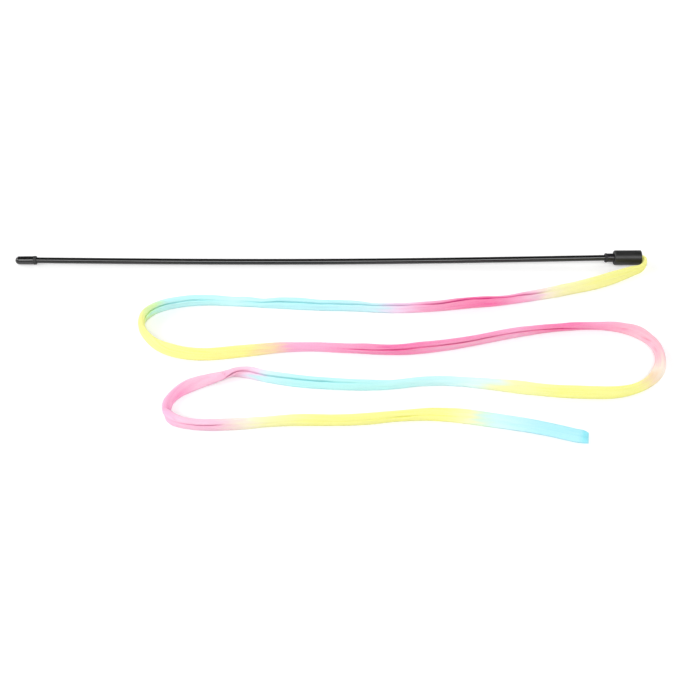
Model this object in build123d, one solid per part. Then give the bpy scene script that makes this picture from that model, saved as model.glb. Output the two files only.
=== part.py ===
from build123d import *
import math
import os

# Cat teaser wand lying on a flat surface, in millimetres.
# The wand's own axis runs along +X, from the tip of the handle cap to the barrel's mouth.

# Rod
rod_diameter = 4.4
rod_bare_length = 428.9
rod_end_chamfer = 0.3

# Handle cap, pushed on the rod's handle end
cap_wall = 0.87
cap_grip_depth = 13.0
cap_nose_thickness = 3.0
cap_lip_length = 2.2
cap_lip_height = 0.2
cap_lip_round = 0.3

# Neck sleeve, pushed on the rod's tip and seated in the barrel
sleeve_wall = 1.05
sleeve_bare_length = 6.7
sleeve_bead_length = 1.6
sleeve_bead_height = 0.2
sleeve_seat_length = 8.0
sleeve_end_wall = 2.5
sleeve_lip_chamfer = 0.3

# Ribbon barrel
barrel_diameter = 11.2
barrel_wall = 1.4
barrel_web = 2.0
barrel_rear_chamfer = 0.8
barrel_rim_round = 0.6
mouth_depth = 10.4
mouth_chamfer = 0.5

# Wedge that jams the ribbon's tucked end
wedge_recess = 1.6
wedge_lead_chamfer = 0.6

# Ribbon, a strip rolled in along both edges, lying on one rolled edge
ribbon_width = 7.4
ribbon_thickness = 4.0
ribbon_bevel_share = 0.3
tucked_share = 0.7

# Clearances
push_fit = 0.03
seat_fit = 0.02
end_gap = 0.1
wedge_fit = 0.05
ribbon_gap = 0.2
fold_gap = 0.7

# Corners of the ribbon's route on the surface, as distances from the barrel's mouth along X and Y
floor_route = [
    (-6.5, -12.2), (-30, -25.8), (-68, -39.5), (-108, -50), (-150, -56), (-190, -60.3), (-236, -56),
    (-284, -53.5), (-326, -48.5), (-351, -52), (-365, -63), (-369, -77.5), (-362, -92), (-347.5, -105),
    (-324, -112), (-288, -106.5), (-256, -101), (-220, -104.5), (-186, -106.5), (-150, -99), (-108, -87),
    (-70, -79), (-40, -78.5), (-21, -85), (-10, -98.5), (-8.5, -114), (-15.5, -130.5), (-29, -144),
    (-50, -150.5), (-84, -147.5), (-124, -141), (-160, -135.5), (-202, -142.5), (-244, -139.5),
    (-276, -133), (-296, -125.8), (-314, -134.5), (-330, -143), (-339.5, -154.5), (-341, -166.5),
    (-335, -175.5), (-321, -179.5), (-298, -179.3), (-266, -174.6), (-228, -175.5), (-190, -171.8),
    (-156, -168), (-124, -176.6), (-94, -183), (-71, -191),
]
corner_share = 0.45
drop_start_share = 0.2
drop_end_share = 0.5

# Sizes that follow from those above
rod_radius = rod_diameter / 2
bore_radius = rod_radius + push_fit
cap_radius = bore_radius + cap_wall
cap_lip_radius = cap_radius + cap_lip_height
cap_length = cap_nose_thickness + cap_grip_depth
sleeve_radius = bore_radius + sleeve_wall
sleeve_bead_radius = sleeve_radius + sleeve_bead_height
sleeve_length = sleeve_bare_length + sleeve_seat_length
sleeve_grip_depth = sleeve_length - sleeve_end_wall
rod_length = cap_grip_depth + rod_bare_length + sleeve_grip_depth - 2 * end_gap
barrel_radius = barrel_diameter / 2
barrel_length = sleeve_seat_length + barrel_web + mouth_depth
mouth_radius = barrel_radius - barrel_wall

# Places along the wand's axis, from the tip of the cap
rod_start = cap_nose_thickness + end_gap
cap_lip_start = cap_length - cap_lip_length
cap_lip_edge = cap_lip_start + cap_lip_height
sleeve_start = cap_length + rod_bare_length
barrel_start = sleeve_start + sleeve_bare_length
barrel_edge = barrel_start + barrel_rear_chamfer
web_front = barrel_start + sleeve_seat_length + barrel_web
wand_length = barrel_start + barrel_length

# The wand rests on the rear edges of the cap's lip and of the barrel, so its axis rises a little to the barrel
tilt = math.atan2(barrel_radius - cap_lip_radius, barrel_edge - cap_lip_edge)
tip_height = cap_lip_radius * math.cos(tilt) - cap_lip_edge * math.sin(tilt)
nose_reach = cap_radius * math.cos(tilt) - cap_radius
rim_centre = wand_length - barrel_rim_round
rim_radius = barrel_radius - barrel_rim_round
mouth_reach = rim_centre * math.cos(tilt) + rim_radius * math.sin(tilt) + barrel_rim_round
tip_place = -(nose_reach + mouth_reach) / 2
at_rest = Pos(tip_place, 0, tip_height) * Rot(0, -math.degrees(tilt), 0)
mouth_centre = (at_rest * Pos(wand_length, 0, 0)).position

# The tucked ribbon fills the front half of the barrel's bore, and the wedge fills the back half
tucked_thickness = tucked_share * mouth_radius
tucked_side = ribbon_gap + tucked_thickness / 2
tucked_front = tucked_side + tucked_thickness / 2
tucked_bevel = ribbon_bevel_share * tucked_thickness
tucked_reach = mouth_radius - ribbon_gap
edge_half_width = math.sqrt(tucked_reach ** 2 - (tucked_front - tucked_bevel) ** 2)
front_half_width = math.sqrt(tucked_reach ** 2 - tucked_front ** 2) + tucked_bevel
tucked_width = 2 * min(edge_half_width, front_half_width)
fold_reach = fold_gap + tucked_thickness / 2
fold_side = barrel_radius + fold_reach


def turned(outline):
    """A solid turned about the wand's axis from a closed outline of lengths and radii."""
    return revolve(make_face(outline), Axis.X)


def make_rod():
    rod = Pos(rod_start, 0, 0) * Rot(0, 90, 0) * Cylinder(
        rod_radius, rod_length, align=(Align.CENTER, Align.CENTER, Align.MIN)
    )
    return chamfer(rod.edges().filter_by(GeomType.CIRCLE), rod_end_chamfer)


def make_handle_cap():
    nose = CenterArc((cap_radius, 0), cap_radius, 90, 90)
    side = Polyline(
        (cap_radius, cap_radius),
        (cap_lip_start, cap_radius),
        (cap_lip_edge, cap_lip_radius),
        (cap_length, cap_lip_radius),
        (cap_length, bore_radius),
        (cap_nose_thickness, bore_radius),
        (cap_nose_thickness, 0),
        (0, 0),
    )
    cap = turned([nose, side])
    lip = cap.edges().filter_by(GeomType.CIRCLE).group_by(Axis.X)[-1].sort_by(SortBy.RADIUS)[-1]
    return fillet(lip, cap_lip_round)


def make_neck_sleeve():
    sleeve_end = sleeve_start + sleeve_length
    bore_end = sleeve_start + sleeve_grip_depth
    bead_end = sleeve_start + sleeve_bead_length
    return turned(Polyline(
        (sleeve_start, bore_radius),
        (sleeve_start, sleeve_bead_radius - sleeve_lip_chamfer),
        (sleeve_start + sleeve_lip_chamfer, sleeve_bead_radius),
        (bead_end - sleeve_bead_height, sleeve_bead_radius),
        (bead_end, sleeve_radius),
        (sleeve_end - sleeve_lip_chamfer, sleeve_radius),
        (sleeve_end, sleeve_radius - sleeve_lip_chamfer),
        (sleeve_end, 0),
        (bore_end, 0),
        (bore_end, bore_radius),
        close=True,
    ))


def make_ribbon_barrel():
    seat_radius = sleeve_radius + seat_fit
    web_back = barrel_start + sleeve_seat_length
    barrel = turned(Polyline(
        (barrel_start, seat_radius),
        (barrel_start, barrel_radius - barrel_rear_chamfer),
        (barrel_start + barrel_rear_chamfer, barrel_radius),
        (wand_length, barrel_radius),
        (wand_length, mouth_radius + mouth_chamfer),
        (wand_length - mouth_chamfer, mouth_radius),
        (web_front, mouth_radius),
        (web_front, 0),
        (web_back, 0),
        (web_back, seat_radius),
        close=True,
    ))
    rim = barrel.edges().filter_by(GeomType.CIRCLE).group_by(Axis.X)[-1].sort_by(SortBy.RADIUS)[-1]
    return fillet(rim, barrel_rim_round)


def make_ribbon_wedge():
    wedge_radius = mouth_radius - wedge_fit
    wedge_length = mouth_depth - wedge_recess
    round_bar = Pos(web_front, 0, 0) * Rot(0, 90, 0) * Cylinder(
        wedge_radius, wedge_length, align=(Align.CENTER, Align.CENTER, Align.MIN)
    )
    back_half = Pos(web_front, 0, 0) * Box(
        wedge_length, wedge_radius, 2 * wedge_radius, align=(Align.MIN, Align.MIN, Align.CENTER)
    )
    wedge = round_bar & back_half
    flat = wedge.faces().sort_by(Axis.Y)[0]
    lead_edge = flat.edges().sort_by(Axis.X)[-1]
    return chamfer(lead_edge, wedge_lead_chamfer)


def corner_radii(route):
    """One radius for each corner, as large as its two runs allow."""
    radii = []
    for before, corner, after in zip(route, route[1:], route[2:]):
        run_in = corner - before
        run_out = after - corner
        half_turn = math.radians(run_in.get_angle(run_out)) / 2
        radii.append(corner_share * min(run_in.length, run_out.length) / math.tan(half_turn))
    return radii


def strip_outline(width, thickness):
    """The rolled strip's cross-section, with bevels for its rolled edges."""
    return chamfer(Rectangle(width, thickness).vertices(), ribbon_bevel_share * thickness)


def strip_section(place, direction, width, thickness):
    """That cross-section standing on edge across its run."""
    return Plane(origin=place, x_dir=(0, 0, 1), z_dir=direction) * strip_outline(width, thickness)


def strip_along(path, width, thickness):
    strip = sweep(strip_section(path @ 0, path % 0, width, thickness), path)
    plain_volume = strip_outline(width, thickness).area * path.length
    print(f"strip length {path.length:.1f}, volume {strip.volume:.1f}, section times length {plain_volume:.1f}")
    return strip


def make_ribbon():
    exit_route = [
        (ribbon_gap - mouth_depth, -tucked_side),
        (fold_reach, -tucked_side),
        (fold_reach, -fold_side),
    ]
    mouth_in_plan = Vector(mouth_centre.X, mouth_centre.Y)
    route = [mouth_in_plan + Vector(*point) for point in exit_route + floor_route]
    radii = corner_radii(route)
    print("ribbon corner radii", [round(radius, 1) for radius in radii])

    # The strip comes down to the surface on the straight part of the run after its exit
    drop_corner = len(exit_route)
    drop_run = route[drop_corner + 1] - route[drop_corner]
    drop_top = route[drop_corner] + drop_run * drop_start_share
    drop_bottom = route[drop_corner] + drop_run * drop_end_share
    raised = Vector(0, 0, mouth_centre.Z)
    lying = Vector(0, 0, ribbon_width / 2)
    exit_path = FilletPolyline(
        [point + raised for point in route[: drop_corner + 1] + [drop_top]], radius=radii[:drop_corner]
    )
    floor_path = FilletPolyline(
        [point + lying for point in [drop_bottom] + route[drop_corner + 1:]], radius=radii[drop_corner:]
    )
    drop = loft([
        strip_section(exit_path @ 1, drop_run, tucked_width, tucked_thickness),
        strip_section(floor_path @ 0, drop_run, ribbon_width, ribbon_thickness),
    ], ruled=True)
    print(f"ribbon length {exit_path.length + (floor_path @ 0 - exit_path @ 1).length + floor_path.length:.1f}")
    return (
        strip_along(exit_path, tucked_width, tucked_thickness)
        + drop
        + strip_along(floor_path, ribbon_width, ribbon_thickness)
    )


pieces = {
    "rod": at_rest * make_rod(),
    "handle_cap": at_rest * make_handle_cap(),
    "neck_sleeve": at_rest * make_neck_sleeve(),
    "ribbon_barrel": at_rest * make_ribbon_barrel(),
    "ribbon_wedge": at_rest * make_ribbon_wedge(),
    "ribbon": make_ribbon(),
}

os.makedirs("parts", exist_ok=True)
for name, piece in pieces.items():
    export_step(piece, f"parts/{name}.step")
print(f"tilt {math.degrees(tilt):.4f} degrees, mouth centre {mouth_centre}")
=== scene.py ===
"""The looks of a cat teaser wand: satin black plastic, and one long ribbon of rolled fleece, in metres."""
import math

import bpy
import numpy as np
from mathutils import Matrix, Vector, noise


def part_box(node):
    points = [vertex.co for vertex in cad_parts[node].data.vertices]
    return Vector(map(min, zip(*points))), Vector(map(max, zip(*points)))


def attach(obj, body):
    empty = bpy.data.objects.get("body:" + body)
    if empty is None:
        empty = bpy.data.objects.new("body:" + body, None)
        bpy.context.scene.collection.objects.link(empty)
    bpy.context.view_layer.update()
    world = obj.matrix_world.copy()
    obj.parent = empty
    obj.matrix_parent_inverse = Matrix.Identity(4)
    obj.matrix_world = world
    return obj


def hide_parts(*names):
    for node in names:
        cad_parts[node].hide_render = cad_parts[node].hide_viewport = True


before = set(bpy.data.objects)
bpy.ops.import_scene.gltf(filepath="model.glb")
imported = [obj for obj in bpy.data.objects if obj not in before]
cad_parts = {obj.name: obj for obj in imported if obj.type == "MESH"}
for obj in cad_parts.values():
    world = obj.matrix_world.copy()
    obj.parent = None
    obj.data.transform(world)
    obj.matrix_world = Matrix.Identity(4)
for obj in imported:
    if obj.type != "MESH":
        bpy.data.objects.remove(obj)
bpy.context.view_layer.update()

# Camera, fitted to the photograph's view
photo_side_pixels = 680
photo_focal_pixels = 1180
camera_elevation = math.radians(40)
camera_place = Vector((0.0092, -0.7217, 0.5302))
sensor_width_mm = 36

# Studio: a white floor that glows to the camera, and each softbox's place, width, height and power in watts
floor_side = 12.0
floor_dark = (0.80, 0.80, 0.80, 1)
floor_light = (0.82, 0.82, 0.82, 1)
floor_grain_scale = 30
floor_grain_detail = 2.0
floor_glow = 0.28
far_glow = 1.0
floor_glow_start = 0.15
floor_glow_end = 1.6
world_level = 0.12
light_aim = (0, -0.08, 0)
softboxes = {
    "front_softbox": ((0, -1.9, 1.85), 2.2, 1.3, 46),
    "back_left_softbox": ((-2.0, 1.7, 1.0), 1.6, 1.2, 26),
    "back_right_softbox": ((2.0, 1.7, 1.0), 1.6, 1.2, 26),
    "left_softbox": ((-2.0, -0.1, 1.2), 1.6, 1.6, 12),
    "right_softbox": ((2.0, -0.1, 1.2), 1.6, 1.6, 12),
    "small_softbox": ((-1.47, -0.42, 0.74), 0.4, 0.4, 7),
}

# Rod, which sags under its own weight and bows a little towards the front between its two held ends
rod_sag = 0.0019
rod_bow = 0.0007
rod_chamfer = 0.0003
rod_ring_spacing = 0.004
rod_ring_points = 48
cap_lip_length = 0.0022
sleeve_bead_length = 0.0016
barrel_chamfer_length = 0.0008

# Black plastics: darkest and lightest colour, shine, lowest and highest roughness, and depth of the grain
plastics = {
    "rod_black": ((0.003, 0.003, 0.003), (0.006, 0.006, 0.006), 0.65, (0.12, 0.17), 0.000004),
    "cap_black": ((0.003, 0.003, 0.003), (0.006, 0.006, 0.006), 0.80, (0.11, 0.16), 0.000006),
    "sleeve_black": ((0.007, 0.006, 0.008), (0.012, 0.010, 0.014), 0.50, (0.24, 0.32), 0.00001),
    "barrel_black": ((0.005, 0.005, 0.005), (0.009, 0.009, 0.008), 0.62, (0.40, 0.46), 0.00001),
    "wedge_black": ((0.014, 0.014, 0.014), (0.020, 0.020, 0.020), 0.60, (0.50, 0.60), 0.00002),
}
drawn_streak_scale = (40, 900, 900)
drawn_streak_detail = 3.0
shine_patch_scale = 90
shine_patch_detail = 3.0
shine_patch_range = (0.3, 0.7)
grain_scale = 3000
grain_detail = 2.0
grain_strength = 0.4
matt_ring_roughness = 0.6

# Barrel's mouth, where the ribbon leaves the wand
barrel_low, barrel_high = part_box("ribbon_barrel")
barrel_radius = (barrel_high.y - barrel_low.y) / 2
mouth_centre = Vector((barrel_high.x, 0, barrel_high.z - barrel_radius))

# Ribbon's route as distances from the mouth's centre along X and Y, from its tucked end to its cut end
exit_route = [
    (-0.0102, -0.00167), (-0.0045, -0.00167), (0.0019, -0.00175), (0.0025, -0.0060), (-0.0007, -0.0103),
]
floor_route = [
    (-0.0066, -0.0134), (-0.0300, -0.0268), (-0.0680, -0.0399), (-0.1080, -0.0501), (-0.1350, -0.0532),
    (-0.1580, -0.0573), (-0.1900, -0.0594), (-0.2180, -0.0568), (-0.2440, -0.0560), (-0.2840, -0.0527),
    (-0.3260, -0.0494), (-0.3504, -0.0541), (-0.3644, -0.0641), (-0.3680, -0.0774), (-0.3614, -0.0912),
    (-0.3476, -0.1053), (-0.3240, -0.1113),
    (-0.2880, -0.1062), (-0.2560, -0.1002), (-0.2200, -0.1033), (-0.1860, -0.1061), (-0.1500, -0.1003),
    (-0.1080, -0.0872), (-0.0700, -0.0785), (-0.0400, -0.0775), (-0.0204, -0.0832), (-0.0085, -0.0965),
    (-0.0071, -0.1138), (-0.0146, -0.1315), (-0.0290, -0.1438), (-0.0500, -0.1498), (-0.0840, -0.1476),
    (-0.1240, -0.1410), (-0.1600, -0.1348), (-0.2020, -0.1422), (-0.2440, -0.1404), (-0.2760, -0.1342),
    (-0.2960, -0.1276), (-0.3141, -0.1330), (-0.3300, -0.1427), (-0.3394, -0.1541), (-0.3398, -0.1664),
    (-0.3349, -0.1749), (-0.3210, -0.1791), (-0.2980, -0.1795), (-0.2660, -0.1750), (-0.2420, -0.1750),
    (-0.2130, -0.1745), (-0.1900, -0.1704), (-0.1560, -0.1686), (-0.1238, -0.1748), (-0.0938, -0.1814),
    (-0.0696, -0.1903),
]
route_steps = 64

# Ribbon's rings and cross-section
ring_spacing = 0.0010
ring_points = 56
crease_crowding = 1.6
section_squareness = 2.5
crease_half_width = 0.00030
lip_offset = 0.0011
lip_half_width = 0.0008
lip_swell = 0.16
lift_start = 0.011
lift_end = 0.024
floor_gap = 0.00005
station_blur = 0.006
crease_wander = 6
crease_unevenness = 0.5
crease_wavelength = 0.017
# The next two set the painted shade in the crease and the folds: the depth at which it is full, and how far it
# reaches
painted_shade_full_depth = 0.0015
crease_painted_shade_reach = 0.00042
fold_half_width = 0.00040
fold_mean_radius = 0.0032
swell_depth = 0.00026
swell_wavelength = 0.022
swell_turn_scale = 1.4
ridge_depth = 0.00010
ridge_wavelength = 0.014
ridge_turn_scale = 5
pile_reach = 0.00014
cut_wall_share = 0.72
cut_floor_share = 0.55
cut_depth = 0.0012
cut_slant = 0.20
end_lift = 0.0011
end_reach = 0.010
bake_bands = 8
bake_fill = 0.96
bake_end_places = (0.25, 0.75)

# Fleece: how far the bands of dye wander, the streaks and the pile, and the saturation and value of each
# shade; the crease's is painted shade in the crease and folds
noise_middle = 0.5
wander_scale = (70, 1.6, 1.6)
wander_detail = 3.0
wander_reach = 0.014
streak_scale = (26, 3.2, 3.2)
streak_detail = 4.0
streak_roughness = 0.6
streak_range = (0.42, 0.72)
streak_share = 0.6
streak_shade = (1.22, 0.97)
deep_shade = (1.4, 0.95)
pale_shade = (0.6, 1.03)
# Painted shade: how much the colour deepens and darkens in the crease and the folds
crease_painted_shade = (1.5, 0.72)
pile_scale = 1500
pile_detail = 3.0
pile_roughness = 0.6
pile_range = (0.35, 0.7)
pile_share = 0.3
pile_shade = (0.8, 1.03)
pile_strength = 0.4
pile_depth = 0.0003
sheen_dye_share = 0.7
fleece_roughness = 0.95
fleece_sheen = 0.6
fleece_sheen_roughness = 0.5
fleece_shine = 0.1

# How the ribbon lies, by distance along it: width, thickness, lean of its wide way from upright, and its
# crease's angle from the top and depth. Angles are in degrees, towards the left of its run.
stations = [
    (0.000, 0.0064, 0.0028, 0, 40, 0.0000),
    (0.013, 0.0066, 0.0029, 0, 40, 0.0000),
    (0.021, 0.0064, 0.0030, -5, 40, 0.0002),
    (0.034, 0.0087, 0.0036, -18, 40, 0.0002),
    (0.048, 0.0095, 0.0040, -28, 30, 0.0000),
    (0.068, 0.0092, 0.0042, -30, 20, 0.0000),
    (0.075, 0.0088, 0.0042, -28, 17, 0.0000),
    (0.082, 0.0083, 0.0042, -26, 15, 0.0000),
    (0.090, 0.0087, 0.0042, -24, 15, 0.0000),
    (0.100, 0.0080, 0.0042, -20, 25, 0.0003),
    (0.112, 0.0080, 0.0042, -12, 25, 0.0013),
    (0.122, 0.0080, 0.0042, -10, 18, 0.0016),
    (0.132, 0.0067, 0.0042, -8, 12, 0.0009),
    (0.142, 0.0072, 0.0042, -8, 6, 0.0005),
    (0.149, 0.0082, 0.0042, -8, 14, 0.0018),
    (0.158, 0.0083, 0.0042, -8, 9, 0.0014),
    (0.170, 0.0084, 0.0042, -8, 14, 0.0020),
    (0.185, 0.0080, 0.0042, -6, 24, 0.0018),
    (0.200, 0.0077, 0.0042, -5, 17, 0.0009),
    (0.220, 0.0078, 0.0042, -5, 17, 0.0018),
    (0.230, 0.0068, 0.0042, -5, 18, 0.0012),
    (0.245, 0.0084, 0.0042, -5, 26, 0.0012),
    (0.270, 0.0083, 0.0042, -5, 33, 0.0012),
    (0.285, 0.0096, 0.0042, -5, 32, 0.0013),
    (0.300, 0.0088, 0.0042, -3, 34, 0.0012),
    (0.311, 0.0067, 0.0040, 0, 38, 0.0011),
    (0.322, 0.0083, 0.0040, 0, 45, 0.0005),
    (0.332, 0.0076, 0.0040, 0, 50, 0.0001),
    (0.345, 0.0085, 0.0042, 0, 52, 0.0004),
    (0.360, 0.0088, 0.0042, 0, 50, 0.0011),
    (0.390, 0.0092, 0.0042, 0, 50, 0.0012),
    (0.402, 0.0098, 0.0044, 0, 52, 0.0011),
    (0.409, 0.0080, 0.0042, 0, 62, 0.0007),
    (0.417, 0.0072, 0.0042, 3, 66, 0.0003),
    (0.428, 0.0074, 0.0042, 10, 60, 0.0000),
    (0.445, 0.0091, 0.0042, 18, 0, 0.0000),
    (0.480, 0.0084, 0.0042, 18, -40, 0.0000),
    (0.505, 0.0083, 0.0042, 15, -60, 0.0001),
    (0.520, 0.0078, 0.0042, 10, -65, 0.0001),
    (0.533, 0.0067, 0.0041, 7, -65, 0.0001),
    (0.550, 0.0069, 0.0040, 2, -66, 0.0001),
    (0.570, 0.0074, 0.0040, 0, -68, 0.0002),
    (0.582, 0.0080, 0.0040, 0, -68, 0.0014),
    (0.600, 0.0080, 0.0042, 0, -52, 0.0010),
    (0.620, 0.0091, 0.0042, 5, -46, 0.0009),
    (0.640, 0.0085, 0.0042, 5, -47, 0.0013),
    (0.660, 0.0078, 0.0042, 3, -47, 0.0016),
    (0.680, 0.0078, 0.0042, 0, -46, 0.0009),
    (0.700, 0.0070, 0.0040, 0, -54, 0.0011),
    (0.712, 0.0066, 0.0040, 0, -68, 0.0013),
    (0.722, 0.0058, 0.0038, 0, -80, 0.0013),
    (0.731, 0.0058, 0.0038, 0, -100, 0.0018),
    (0.741, 0.0054, 0.0038, 0, -118, 0.0009),
    (0.752, 0.0058, 0.0040, 5, -125, 0.0002),
    (0.765, 0.0074, 0.0042, 15, -120, 0.0000),
    (0.778, 0.0086, 0.0042, 32, -110, 0.0000),
    (0.790, 0.0074, 0.0042, 46, -90, 0.0000),
    (0.800, 0.0066, 0.0042, 58, -60, 0.0000),
    (0.810, 0.0070, 0.0040, 74, -40, 0.0000),
    (0.820, 0.0086, 0.0040, 92, -20, 0.0000),
    (0.834, 0.0070, 0.0040, 122, 0, 0.0000),
    (0.850, 0.0069, 0.0042, 146, 10, 0.0000),
    (0.872, 0.0086, 0.0042, 160, 20, 0.0001),
    (0.885, 0.0088, 0.0042, 160, 30, 0.0002),
    (0.905, 0.0081, 0.0042, 160, 30, 0.0001),
    (0.925, 0.0088, 0.0042, 160, 30, 0.0001),
    (0.945, 0.0079, 0.0042, 165, 30, 0.0001),
    (0.965, 0.0066, 0.0040, 172, 30, 0.0001),
    (1.012, 0.0069, 0.0038, 180, 28, 0.0000),
    (1.030, 0.0084, 0.0040, 180, 26, 0.0001),
    (1.045, 0.0088, 0.0042, 180, 26, 0.0009),
    (1.055, 0.0093, 0.0042, 180, 27, 0.0013),
    (1.080, 0.0099, 0.0042, 180, 29, 0.0014),
    (1.095, 0.0096, 0.0042, 180, 34, 0.0013),
    (1.108, 0.0110, 0.0046, 186, 34, 0.0012),
    (1.117, 0.0098, 0.0050, 202, 46, 0.0018),
    (1.124, 0.0084, 0.0050, 232, 78, 0.0020),
    (1.130, 0.0078, 0.0048, 262, 116, 0.0012),
    (1.138, 0.0084, 0.0042, 286, 145, 0.0004),
    (1.150, 0.0090, 0.0040, 304, 170, 0.0000),
    (1.160, 0.0072, 0.0042, 306, 200, 0.0000),
    (1.173, 0.0064, 0.0040, 303, 240, 0.0000),
    (1.178, 0.0064, 0.0040, 310, 258, 0.0000),
    (1.184, 0.0088, 0.0044, 372, 280, 0.0001),
    (1.190, 0.0088, 0.0044, 372, 290, 0.0001),
    (1.197, 0.0085, 0.0042, 362, 298, 0.0005),
    (1.209, 0.0080, 0.0042, 365, 302, 0.0013),
    (1.216, 0.0083, 0.0042, 365, 306, 0.0017),
    (1.223, 0.0088, 0.0042, 365, 312, 0.0001),
    (1.235, 0.0081, 0.0042, 365, 312, 0.0001),
    (1.250, 0.0074, 0.0040, 365, 305, 0.0001),
    (1.275, 0.0089, 0.0040, 365, 300, 0.0001),
    (1.295, 0.0076, 0.0040, 367, 295, 0.0001),
    (1.312, 0.0083, 0.0040, 368, 293, 0.0002),
    (1.330, 0.0078, 0.0040, 370, 292, 0.0003),
    (1.342, 0.0078, 0.0040, 373, 294, 0.0008),
    (1.352, 0.0080, 0.0040, 380, 296, 0.0003),
    (1.372, 0.0089, 0.0038, 408, 300, 0.0001),
    (1.385, 0.0095, 0.0036, 416, 310, 0.0001),
    (1.420, 0.0094, 0.0034, 421, 320, 0.0001),
    (1.458, 0.0088, 0.0032, 423, 325, 0.0001),
]

# Dents across the ribbon: distance along it, reach along it, and share of the section that is drawn in
dents = [
    (0.330, 0.010, 0.03), (0.768, 0.005, 0.05), (0.787, 0.004, 0.05), (1.112, 0.005, 0.05),
    (1.178, 0.003, 0.10), (1.459, 0.0032, 0.26),
]

# Short folds besides the crease: start and end as a distance along the ribbon and an angle from the top, and
# a depth
folds = [
    ((0.128, 16), (0.147, 2), 0.0005),
    ((0.165, 92), (0.182, 104), 0.0003),
    ((0.190, 62), (0.204, 74), 0.0003),
    ((0.310, 66), (0.334, 82), 0.0005),
    ((0.590, -18), (0.604, -30), 0.0004),
    ((0.766, -84), (0.772, -48), 0.0007),
    ((0.783, -90), (0.792, -40), 0.0010),
    ((0.795, -60), (0.803, -70), 0.0006),
    ((1.128, -60), (1.124, 80), 0.0010),
    ((1.126, 100), (1.140, 96), 0.0004),
    ((1.1765, 20), (1.1790, 120), 0.0007),
    ((1.190, -22), (1.194, -44), 0.0006),
    ((1.395, -122), (1.450, -126), 0.0005),
    ((1.4534, -130), (1.4534, 20), 0.0004),
]

# Deeper and paler patches of dye, painted shade at dents, the pinch and the mouth, and a darker cut end:
# distance along the ribbon, reach along it, angle from the top, reach round it, and depth, which is below zero
# for a paler patch
dye_and_shade_patches = [
    (0.118, 0.014, 65, 35, -0.4),
    (0.145, 0.016, 95, 28, 0.4),
    (0.170, 0.026, -15, 18, 0.5),
    (0.330, 0.018, 60, 90, -0.5),
    (0.378, 0.016, 85, 60, -0.35),
    (0.604, 0.010, -20, 60, 0.2),
    (0.660, 0.045, -10, 25, 0.3),
    (0.655, 0.040, -95, 25, -0.6),
    (0.730, 0.012, -20, 50, 0.3),
    # Painted shade in the two dents of the right loop
    (0.768, 0.006, -80, 30, 0.3),
    (0.787, 0.006, -80, 30, 0.4),
    (1.122, 0.008, 60, 45, 0.5),
    # Painted shade: deeper yellow just outside the barrel's mouth, where the barrel shades it
    (0.022, 0.008, 0, 180, 0.12),
    (0.060, 0.022, 0, 180, -0.16),
    (0.832, 0.008, -90, 45, 0.6),
    (0.824, 0.014, 70, 60, -0.5),
    # Painted shade in the pinch of the left turn
    (1.160, 0.008, 85, 30, 0.5),
    (1.178, 0.003, 60, 90, 0.35),
    # Darker colour at the cut end
    (1.456, 0.0025, 0, 180, 1.2),
]

# Patches where the bands of dye are shifted: as above, with the shift along the ribbon in place of a depth
dye_shifts = [
    (0.396, 0.014, 95, 40, -0.010),
    (0.396, 0.014, -10, 40, 0.003),
    (0.815, 0.016, -80, 45, -0.006),
    (0.942, 0.018, 110, 45, -0.010),
    (0.942, 0.018, 0, 40, 0.007),
    (1.104, 0.018, 110, 45, -0.009),
    (1.104, 0.018, 5, 40, 0.005),
]

# Dye along the ribbon, by distance along it, in two lists that meet in one colour
near_dyes = [
    (0.062, "yellow"), (0.090, "pale_yellow"), (0.102, "cream"), (0.112, "blush"), (0.124, "light_pink"),
    (0.148, "deep_pink"), (0.164, "deep_pink"), (0.178, "pink"), (0.194, "light_pink"), (0.213, "lilac"),
    (0.229, "pale_blue"), (0.260, "blue"), (0.380, "blue"), (0.392, "green"), (0.409, "yellow"),
    (0.498, "yellow"), (0.517, "peach"), (0.531, "light_pink"), (0.545, "light_pink"),
    (0.566, "pink"), (0.600, "deep_pink"), (0.614, "deep_pink"), (0.634, "pink"), (0.654, "pink"),
    (0.690, "light_pink"), (0.718, "deep_pink"), (0.752, "pink"), (0.778, "salmon"), (0.802, "salmon"),
    (0.820, "shell"), (0.832, "apricot"), (0.848, "yellow"),
]
dye_change = 0.880
far_dyes = [
    (0.900, "yellow"), (0.934, "pale_yellow"), (0.950, "ice"), (0.970, "pale_blue"), (1.020, "blue"),
    (1.074, "blue"), (1.094, "pale_blue"), (1.104, "lilac"), (1.112, "rose"), (1.145, "rose"),
    (1.160, "light_pink"), (1.180, "light_pink"), (1.196, "rose"), (1.218, "rose"), (1.238, "cream"),
    (1.250, "pale_yellow"), (1.280, "yellow"), (1.366, "yellow"), (1.380, "pale_yellow"),
    (1.391, "mint"), (1.403, "pale_blue"), (1.430, "sky"),
]
dyes = {
    "yellow": (0.99, 0.97, 0.325),
    "pale_yellow": (0.99, 0.97, 0.50),
    "cream": (1.0, 0.93, 0.72),
    "shell": (0.98, 0.84, 0.69),
    "blush": (0.98, 0.66, 0.77),
    "rose": (0.98, 0.58, 0.74),
    "salmon": (0.98, 0.53, 0.63),
    "light_pink": (0.99, 0.45, 0.66),
    "pink": (0.99, 0.38, 0.58),
    "deep_pink": (0.98, 0.285, 0.5),
    "lilac": (0.95, 0.76, 0.94),
    "pale_blue": (0.65, 0.95, 0.99),
    "blue": (0.55, 0.96, 1.0),
    "sky": (0.47, 0.87, 0.95),
    "ice": (0.80, 0.98, 0.92),
    "mint": (0.70, 0.97, 0.80),
    "green": (0.64, 0.94, 0.50),
    "apricot": (0.99, 0.74, 0.49),
    "peach": (0.99, 0.74, 0.45),
}


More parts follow.
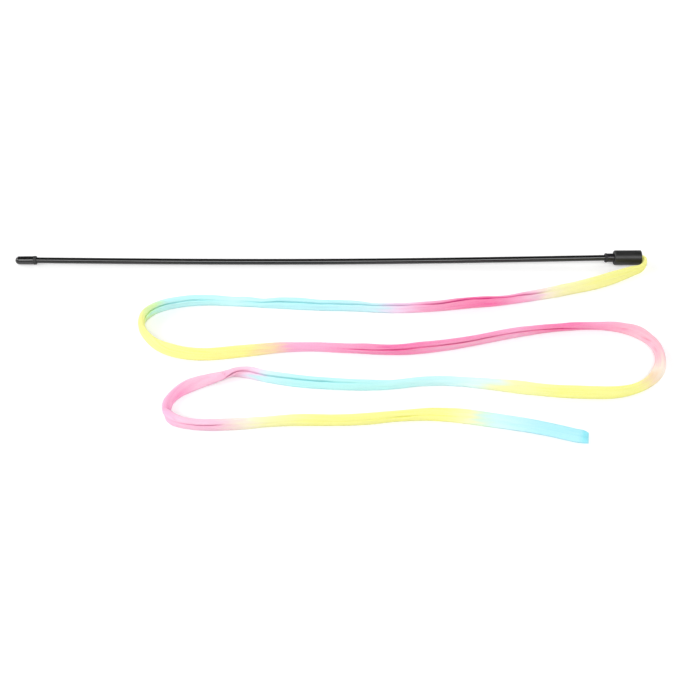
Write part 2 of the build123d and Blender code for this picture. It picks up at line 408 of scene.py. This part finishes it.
class Nodes:
    """Builds one material's nodes, with a short call for each kind."""

    def __init__(self, name):
        self.material = bpy.data.materials.new(name)
        self.material.use_nodes = True
        self.tree = self.material.node_tree
        self.surface = self.tree.nodes["Principled BSDF"]
        self.output = self.tree.nodes["Material Output"]

    def set(self, **values):
        for name, value in values.items():
            self.surface.inputs[name.replace("_", " ")].default_value = value

    def link(self, source, target):
        self.tree.links.new(source, target)

    def to_surface(self, source, name):
        self.link(source, self.surface.inputs[name])

    def add(self, kind, **settings):
        node = self.tree.nodes.new(kind)
        for name, value in settings.items():
            setattr(node, name, value)
        return node

    def attribute(self, name):
        return self.add("ShaderNodeAttribute", attribute_name=name)

    def feed(self, socket, value):
        if isinstance(value, bpy.types.NodeSocket):
            self.link(value, socket)
        else:
            socket.default_value = value

    def maths(self, operation, first, second):
        node = self.add("ShaderNodeMath", operation=operation)
        self.feed(node.inputs[0], first)
        self.feed(node.inputs[1], second)
        return node.outputs[0]

    def stretched(self, vector, scale):
        node = self.add("ShaderNodeVectorMath", operation="MULTIPLY")
        self.link(vector, node.inputs[0])
        node.inputs[1].default_value = scale
        return node.outputs[0]

    def noise(self, vector, scale, detail, roughness=0.5):
        node = self.add("ShaderNodeTexNoise")
        self.link(vector, node.inputs["Vector"])
        node.inputs["Scale"].default_value = scale
        node.inputs["Detail"].default_value = detail
        node.inputs["Roughness"].default_value = roughness
        return node.outputs["Fac"]

    def map_range(self, value, low, high, new_low, new_high):
        node = self.add("ShaderNodeMapRange", interpolation_type="SMOOTHSTEP")
        self.link(value, node.inputs["Value"])
        for name, number in zip(("From Min", "From Max", "To Min", "To Max"), (low, high, new_low, new_high)):
            node.inputs[name].default_value = number
        return node.outputs["Result"]

    def mix(self, share, first, second):
        node = self.add("ShaderNodeMix", data_type="RGBA")
        self.feed(node.inputs["Factor"], share)
        self.feed(node.inputs[6], first)
        self.feed(node.inputs[7], second)
        return node.outputs[2]

    def ramp(self, value, stops, total_length):
        node = self.add("ShaderNodeValToRGB")
        elements = node.color_ramp.elements
        while len(elements) < len(stops):
            elements.new(0.5)
        for element, (distance, dye) in zip(elements, stops):
            element.position = distance / total_length
            element.color = (*dyes[dye], 1)
        self.link(value, node.inputs["Fac"])
        return node.outputs["Color"]

    def deeper(self, colour, saturation, value):
        node = self.add("ShaderNodeHueSaturation")
        node.inputs["Saturation"].default_value = saturation
        node.inputs["Value"].default_value = value
        self.link(colour, node.inputs["Color"])
        return node.outputs["Color"]

    def bump(self, height, strength, distance):
        node = self.add("ShaderNodeBump")
        node.inputs["Strength"].default_value = strength
        node.inputs["Distance"].default_value = distance
        self.link(height, node.inputs["Height"])
        self.to_surface(node.outputs["Normal"], "Normal")


def black_plastic(name, matt_span=(0, 0)):
    """Moulded black plastic with faint streaks along the wand, a fine grain, and a matt span along X."""
    dark, light, shine, roughness_range, grain_depth = plastics[name]
    nodes = Nodes(name)
    place = nodes.add("ShaderNodeTexCoord").outputs["Object"]
    streaks = nodes.noise(nodes.stretched(place, drawn_streak_scale), 1.0, drawn_streak_detail)
    patches = nodes.noise(place, shine_patch_scale, shine_patch_detail)
    grain = nodes.noise(place, grain_scale, grain_detail)
    nodes.to_surface(nodes.mix(streaks, (*dark, 1), (*light, 1)), "Base Color")
    split = nodes.add("ShaderNodeSeparateXYZ")
    nodes.link(place, split.inputs[0])
    past_start = nodes.maths("GREATER_THAN", split.outputs["X"], matt_span[0])
    before_end = nodes.maths("LESS_THAN", split.outputs["X"], matt_span[1])
    matt = nodes.maths("MULTIPLY", nodes.maths("MULTIPLY", past_start, before_end), matt_ring_roughness)
    gloss = nodes.map_range(patches, *shine_patch_range, *roughness_range)
    nodes.to_surface(nodes.maths("MAXIMUM", gloss, matt), "Roughness")
    nodes.set(Specular_IOR_Level=shine)
    nodes.bump(grain, grain_strength, grain_depth)
    return nodes.material


def fleece(total_length):
    """Short-pile fleece, dyed in soft bands along the ribbon's length, with painted shade in its crease and
    folds.
    """
    nodes = Nodes("ribbon_fleece")
    fibre = nodes.attribute("fibre").outputs["Vector"]
    along = nodes.attribute("along").outputs["Fac"]
    # Share of painted shade, from the crease and the folds
    crease = nodes.attribute("crease").outputs["Fac"]
    tone = nodes.attribute("tone").outputs["Fac"]
    place = nodes.add("ShaderNodeTexCoord").outputs["Object"]

    wander = nodes.noise(nodes.stretched(fibre, wander_scale), 1.0, wander_detail)
    off_middle = nodes.maths("SUBTRACT", wander, noise_middle)
    shifted = nodes.maths("ADD", along, nodes.maths("MULTIPLY", off_middle, wander_reach))
    is_far = nodes.maths("GREATER_THAN", along, dye_change / total_length)
    dyed = nodes.mix(
        is_far, nodes.ramp(shifted, near_dyes, total_length), nodes.ramp(shifted, far_dyes, total_length)
    )

    streaks = nodes.noise(nodes.stretched(fibre, streak_scale), 1.0, streak_detail, streak_roughness)
    streak_mix = nodes.map_range(streaks, *streak_range, 0.0, streak_share)
    streaked = nodes.mix(streak_mix, dyed, nodes.deeper(dyed, *streak_shade))
    # Deeper or paler colour from the tone, which holds both dye patches and painted shade
    deepening = nodes.maths("MAXIMUM", tone, 0.0)
    deepened = nodes.mix(deepening, streaked, nodes.deeper(dyed, *deep_shade))
    paling = nodes.maths("MAXIMUM", nodes.maths("MULTIPLY", tone, -1.0), 0.0)
    paled = nodes.mix(paling, deepened, nodes.deeper(dyed, *pale_shade))
    pile = nodes.noise(place, pile_scale, pile_detail, pile_roughness)
    pile_mix = nodes.map_range(pile, *pile_range, 0.0, pile_share)
    fuzzed = nodes.mix(pile_mix, paled, nodes.deeper(dyed, *pile_shade))
    # Painted shade: deeper, darker colour in the crease and the folds
    shaded = nodes.mix(crease, fuzzed, nodes.deeper(dyed, *crease_painted_shade))
    nodes.to_surface(shaded, "Base Color")
    nodes.to_surface(nodes.mix(sheen_dye_share, (1, 1, 1, 1), shaded), "Sheen Tint")
    nodes.set(
        Roughness=fleece_roughness, Sheen_Weight=fleece_sheen, Sheen_Roughness=fleece_sheen_roughness,
        Specular_IOR_Level=fleece_shine,
    )
    nodes.bump(pile, pile_strength, pile_depth)
    return nodes.material


def floor_white():
    """A white floor that shows as white to the camera and still takes the object's shadow."""
    nodes = Nodes("floor_white")
    place = nodes.add("ShaderNodeTexCoord").outputs["Object"]
    grain = nodes.noise(place, floor_grain_scale, floor_grain_detail)
    colour = nodes.mix(grain, floor_dark, floor_light)
    length = nodes.add("ShaderNodeVectorMath", operation="LENGTH")
    nodes.link(place, length.inputs[0])
    from_middle = length.outputs["Value"]
    level = nodes.map_range(from_middle, floor_glow_start, floor_glow_end, floor_glow, far_glow)
    path = nodes.add("ShaderNodeLightPath").outputs
    mirrored = nodes.maths("MAXIMUM", path["Is Glossy Ray"], path["Is Transmission Ray"])
    shown = nodes.maths("MAXIMUM", path["Is Camera Ray"], mirrored)
    diffuse = nodes.add("ShaderNodeBsdfDiffuse")
    nodes.link(colour, diffuse.inputs["Color"])
    glow = nodes.add("ShaderNodeEmission")
    glow.inputs["Color"].default_value = (1, 1, 1, 1)
    nodes.link(nodes.maths("MULTIPLY", shown, level), glow.inputs["Strength"])
    both = nodes.add("ShaderNodeAddShader")
    nodes.link(diffuse.outputs[0], both.inputs[0])
    nodes.link(glow.outputs[0], both.inputs[1])
    nodes.link(both.outputs[0], nodes.output.inputs["Surface"])
    nodes.tree.nodes.remove(nodes.surface)
    return nodes.material


def spline_points(route):
    """Points along the smooth line that has the route's points as its control points."""
    curve = bpy.data.curves.new("ribbon_route", "CURVE")
    curve.dimensions = "3D"
    spline = curve.splines.new("NURBS")
    spline.points.add(len(route) - 1)
    for point, place in zip(spline.points, route):
        point.co = (*place, 1)
    spline.order_u = 3
    spline.use_endpoint_u = True
    spline.resolution_u = route_steps
    carrier = bpy.data.objects.new("ribbon_route", curve)
    mesh = bpy.data.meshes.new_from_object(carrier)
    line = np.array([vertex.co for vertex in mesh.vertices])
    bpy.data.meshes.remove(mesh)
    bpy.data.curves.remove(curve)
    return line


def evenly_spaced(line, spacing):
    """Points of the line at even distances along it, and those distances."""
    steps = np.linalg.norm(np.diff(line, axis=0), axis=1)
    along = np.concatenate([[0], np.cumsum(steps)])
    marks = np.linspace(0, along[-1], round(along[-1] / spacing) + 1)
    return marks, np.stack([np.interp(marks, along, line[:, k]) for k in range(3)], axis=1)


def blurred(values, marks, distance):
    """Values along the ribbon, evened out over a distance."""
    reach = max(1, round(distance / (marks[1] - marks[0])))
    weights = np.hanning(2 * reach + 3)[1:-1]
    padded = np.pad(values, reach, mode="edge")
    return np.convolve(padded, weights / weights.sum(), mode="valid")


def smooth_step(values, low, high):
    share = np.clip((values - low) / (high - low), 0, 1)
    return share * share * (3 - 2 * share)


def bell(values, reach):
    return np.exp(-((values / reach) ** 2))


def waves(marks, wavelength, turn, turn_scale):
    """Smooth noise over the ribbon's length and round it."""
    return np.array([
        [noise.noise((mark / wavelength, turn_scale * math.cos(a), turn_scale * math.sin(a))) for a in turn]
        for mark in marks
    ])


def patch_sum(patches, marks, angle):
    """What all the patches of a list add up to, at each point."""
    total = np.zeros(angle.shape)
    for distance, reach, patch_angle, spread, height in patches:
        off = np.angle(np.exp(1j * (angle - math.radians(patch_angle))))
        total += height * bell(marks - distance, reach)[:, None] * bell(off, math.radians(spread))
    return total


def fold_depths(marks, angle):
    """Depth of the short folds at each point, on the ribbon's surface rolled out flat."""
    depths = np.zeros(angle.shape)
    for (start, start_angle), (end, end_angle), depth in folds:
        middle = math.radians((start_angle + end_angle) / 2)
        round_it = fold_mean_radius * np.angle(np.exp(1j * (angle - middle)))
        reach = np.array([end - start, fold_mean_radius * math.radians(end_angle - start_angle)])
        along = np.broadcast_to((marks - (start + end) / 2)[:, None], angle.shape)
        share = np.clip((along * reach[0] + round_it * reach[1]) / (reach @ reach), -0.5, 0.5)
        off = np.hypot(along - share * reach[0], round_it - share * reach[1])
        depths = np.maximum(depths, depth * (1 - 4 * share ** 2) * bell(off, fold_half_width))
    return depths


def tube_faces(ring_count, points):
    """Faces between rings, and a closed end on the first and last ring."""
    index = np.arange(ring_count * points).reshape(ring_count, points)
    after = np.roll(index, -1, axis=1)
    quads = np.stack([index[:-1], after[:-1], after[1:], index[1:]], axis=-1).reshape(-1, 4)
    return quads.tolist() + [index[0][::-1].tolist(), index[-1].tolist()]


def tube_mesh(name, rings):
    """A closed mesh from rings of points."""
    mesh = bpy.data.meshes.new(name)
    faces = tube_faces(*rings.shape[:2])
    mesh.from_pydata(rings.reshape(-1, 3).tolist(), [], faces)
    mesh.polygons.foreach_set("use_smooth", [True] * (len(faces) - 2) + [False] * 2)
    mesh.update()
    return mesh


def band_layout(mesh, ring_count, points):
    """Lays the ribbon's surface out for baking in bands, one above the other, and its ends beside them."""
    steps = math.ceil((ring_count - 1) / bake_bands)
    ring, point = np.divmod(np.arange((ring_count - 1) * points), points)
    band = ring // steps
    across = (ring - band * steps)[:, None] + np.array([0, 0, 1, 1])
    around = point[:, None] + np.array([0, 1, 1, 0])
    u = bake_fill * across / steps
    v = (band[:, None] + bake_fill * around / points) / bake_bands
    turn = np.linspace(0, math.tau, points, endpoint=False)
    end_radius = (1 - bake_fill) / 4
    end_u = (1 + bake_fill) / 2 + end_radius * np.cos(turn)
    ends = [np.stack([end_u, share + end_radius * np.sin(turn)], axis=-1) for share in bake_end_places]
    layout = np.concatenate([np.stack([u, v], axis=-1).reshape(-1, 2), *ends])
    mesh.uv_layers.new(name="OFBake").data.foreach_set("uv", layout.astype(np.float32).ravel())


def ribbon_mesh():
    """The rolled strip as rings round its line. Each ring has one column of points on the crease."""
    route = [mouth_centre + Vector((x, y, 0)) for x, y in exit_route + floor_route]
    marks, line = evenly_spaced(spline_points(route), ring_spacing)
    table = np.array(stations)
    width, thickness, lean, crease_at, crease_depth = (
        blurred(np.interp(marks, table[:, 0], table[:, k]), marks, station_blur)[:, None] for k in range(1, 6)
    )
    lean = np.radians(lean)
    crease_at = np.radians(crease_at + crease_wander * waves(marks, crease_wavelength, [0], 1))
    crease_depth = crease_depth * (1 + crease_unevenness * waves(marks, crease_wavelength, [math.pi], 1))

    run = np.gradient(line, axis=0)
    run /= np.linalg.norm(run, axis=1)[:, None]
    side = np.cross((0, 0, 1), run)

    # Outline of each ring, as a radius at each angle from the top
    share = np.linspace(-1, 1, ring_points, endpoint=False)
    turn = math.pi * np.sign(share) * np.abs(share) ** crease_crowding
    angle = crease_at + turn
    long_part = np.abs(np.cos(angle - lean) / (width / 2)) ** section_squareness
    short_part = np.abs(np.sin(angle - lean) / (thickness / 2)) ** section_squareness
    radius = (long_part + short_part) ** (-1 / section_squareness)
    from_crease = np.abs(turn) * radius
    notch = bell(from_crease, crease_half_width)
    lips = bell(from_crease - lip_offset, lip_half_width)
    fold_depth = fold_depths(marks, angle)
    radius = radius + crease_depth * (lip_swell * lips - notch) - fold_depth
    radius += swell_depth * waves(marks, swell_wavelength, turn, swell_turn_scale)
    radius += ridge_depth * waves(marks, ridge_wavelength, turn, ridge_turn_scale)
    for distance, reach, drawn_in in dents:
        radius *= 1 - drawn_in * bell(marks - distance, reach)[:, None]

    lowered = smooth_step(marks, lift_start, lift_end)
    radius += pile_reach * lowered[:, None]

    sideways = radius * np.sin(angle)
    upward = radius * np.cos(angle)
    lying_height = floor_gap - upward.min(axis=1)
    at_end = smooth_step(marks, marks[-1] - end_reach, marks[-1])
    line[:, 2] = mouth_centre.z + (lying_height - mouth_centre.z) * lowered + end_lift * at_end
    rings = line[:, None, :] + sideways[..., None] * side[:, None, :]
    rings[..., 2] += upward
    slant = cut_slant * at_end[:, None] * radius * np.cos(angle - lean)
    rings -= slant[..., None] * run[:, None, :]

    # A hollow in the cut end, which shows the roll's edge
    from_end = rings[-1] - line[-1]
    wall = line[-1] + cut_wall_share * from_end
    hollow = line[-1] + cut_floor_share * from_end - cut_depth * run[-1]
    mesh = tube_mesh("fleece_ribbon", np.concatenate([rings, [wall, hollow]]))
    ring_count = len(marks) + 2
    band_layout(mesh, ring_count, ring_points)

    # How much painted shade each point gets from the crease and the folds
    crease = (crease_depth * bell(from_crease, crease_painted_shade_reach) + fold_depth) / painted_shade_full_depth
    around = np.broadcast_to(turn, radius.shape)
    distance = np.broadcast_to(marks[:, None], radius.shape)
    fibre = np.stack([distance, np.cos(around), np.sin(around)], axis=-1)
    for name, kind, field, values, end_value in (
        ("fibre", "FLOAT_VECTOR", "vector", fibre, None),
        ("along", "FLOAT", "value", (distance + patch_sum(dye_shifts, marks, angle)) / marks[-1], None),
        ("crease", "FLOAT", "value", np.clip(crease, 0, 1), 0),
        # The cut end's wall and hollow take the full deep tone
        ("tone", "FLOAT", "value", np.clip(patch_sum(dye_and_shade_patches, marks, angle), -1, 1), 1),
    ):
        end = values[-1:] if end_value is None else np.full_like(values[-1:], end_value)
        attribute = mesh.attributes.new(name, kind, "POINT")
        attribute.data.foreach_set(field, np.concatenate([values, end, end]).astype(np.float32).ravel())
    return mesh, line, marks[-1]


def show(name, mesh, body, node):
    """Puts a mesh in the scene as a piece of a body, in place of the plain node."""
    piece = bpy.data.objects.new(name, mesh)
    bpy.context.scene.collection.objects.link(piece)
    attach(piece, body)
    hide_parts(node)
    return piece


def make_ribbon():
    mesh, line, length = ribbon_mesh()
    mesh.materials.append(fleece(length))
    ribbon = show("fleece_ribbon", mesh, "socket", "ribbon")
    print("ribbon length", round(float(length), 4))


def make_rod():
    """The rod as rings along its axis, lowered and bowed between the cap and the sleeve that hold it."""
    low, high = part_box("rod")
    radius = (high.y - low.y) / 2
    held_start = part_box("handle_cap")[1].x
    held_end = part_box("neck_sleeve")[0].x
    ring_count = round((high.x - low.x) / rod_ring_spacing)
    inside = np.linspace(low.x + rod_chamfer, high.x - rod_chamfer, ring_count)
    places = np.concatenate([[low.x], inside, [high.x]])
    radii = np.full(len(places), radius)
    radii[[0, -1]] -= rod_chamfer
    share = (places - low.x) / (high.x - low.x)
    bend = np.sin(math.pi * np.clip((places - held_start) / (held_end - held_start), 0, 1))
    axis_height = low.z + radius + share * (high.z - low.z - 2 * radius) - rod_sag * bend
    turn = np.linspace(0, math.tau, rod_ring_points, endpoint=False)
    rings = np.stack([
        np.broadcast_to(places[:, None], (len(places), rod_ring_points)),
        radii[:, None] * np.cos(turn) - rod_bow * bend[:, None],
        radii[:, None] * np.sin(turn) + axis_height[:, None],
    ], axis=-1)
    mesh = tube_mesh("bowed_rod", rings)
    mesh.materials.append(black_plastic("rod_black"))
    show("bowed_rod", mesh, "wand_rod", "rod")


def dress(node, material):
    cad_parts[node].data.materials.clear()
    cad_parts[node].data.materials.append(material)


def make_camera():
    data = bpy.data.cameras.new("camera")
    data.sensor_width = sensor_width_mm
    data.lens = sensor_width_mm * photo_focal_pixels / photo_side_pixels
    camera = bpy.data.objects.new("camera", data)
    camera.location = camera_place
    camera.rotation_euler = (math.pi / 2 - camera_elevation, 0, 0)
    bpy.context.scene.collection.objects.link(camera)
    bpy.context.scene.camera = camera


def make_floor():
    mesh = bpy.data.meshes.new("floor")
    reach = floor_side / 2
    corners = [(-reach, -reach, 0), (reach, -reach, 0), (reach, reach, 0), (-reach, reach, 0)]
    mesh.from_pydata(corners, [], [(0, 1, 2, 3)])
    mesh.materials.append(floor_white())
    floor = bpy.data.objects.new("floor", mesh)
    bpy.context.scene.collection.objects.link(floor)


def make_softbox(name, place, width, height, power):
    data = bpy.data.lights.new(name, "AREA")
    data.shape = "RECTANGLE"
    data.size = width
    data.size_y = height
    data.energy = power
    lamp = bpy.data.objects.new(name, data)
    lamp.location = place
    lamp.rotation_euler = (Vector(light_aim) - Vector(place)).to_track_quat("-Z", "Y").to_euler()
    bpy.context.scene.collection.objects.link(lamp)


def make_studio():
    make_camera()
    make_floor()
    for name, (place, width, height, power) in softboxes.items():
        make_softbox(name, place, width, height, power)
    world = bpy.data.worlds.new("studio")
    world.use_nodes = True
    tree = world.node_tree
    background = tree.nodes["Background"]
    background.inputs["Color"].default_value = (1, 1, 1, 1)
    level = tree.nodes.new("ShaderNodeMath")
    level.operation = "MAXIMUM"
    level.inputs[1].default_value = world_level
    tree.links.new(tree.nodes.new("ShaderNodeLightPath").outputs["Is Camera Ray"], level.inputs[0])
    tree.links.new(level.outputs[0], background.inputs["Strength"])
    bpy.context.scene.world = world
    bpy.context.scene.view_settings.view_transform = "Standard"


make_studio()
make_rod()
make_ribbon()
cap_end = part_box("handle_cap")[1].x
sleeve_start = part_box("neck_sleeve")[0].x
dress("handle_cap", black_plastic("cap_black", (cap_end - cap_lip_length, cap_end)))
dress("neck_sleeve", black_plastic("sleeve_black", (sleeve_start, sleeve_start + sleeve_bead_length)))
dress("ribbon_barrel", black_plastic("barrel_black", (barrel_low.x, barrel_low.x + barrel_chamfer_length)))
dress("ribbon_wedge", black_plastic("wedge_black"))
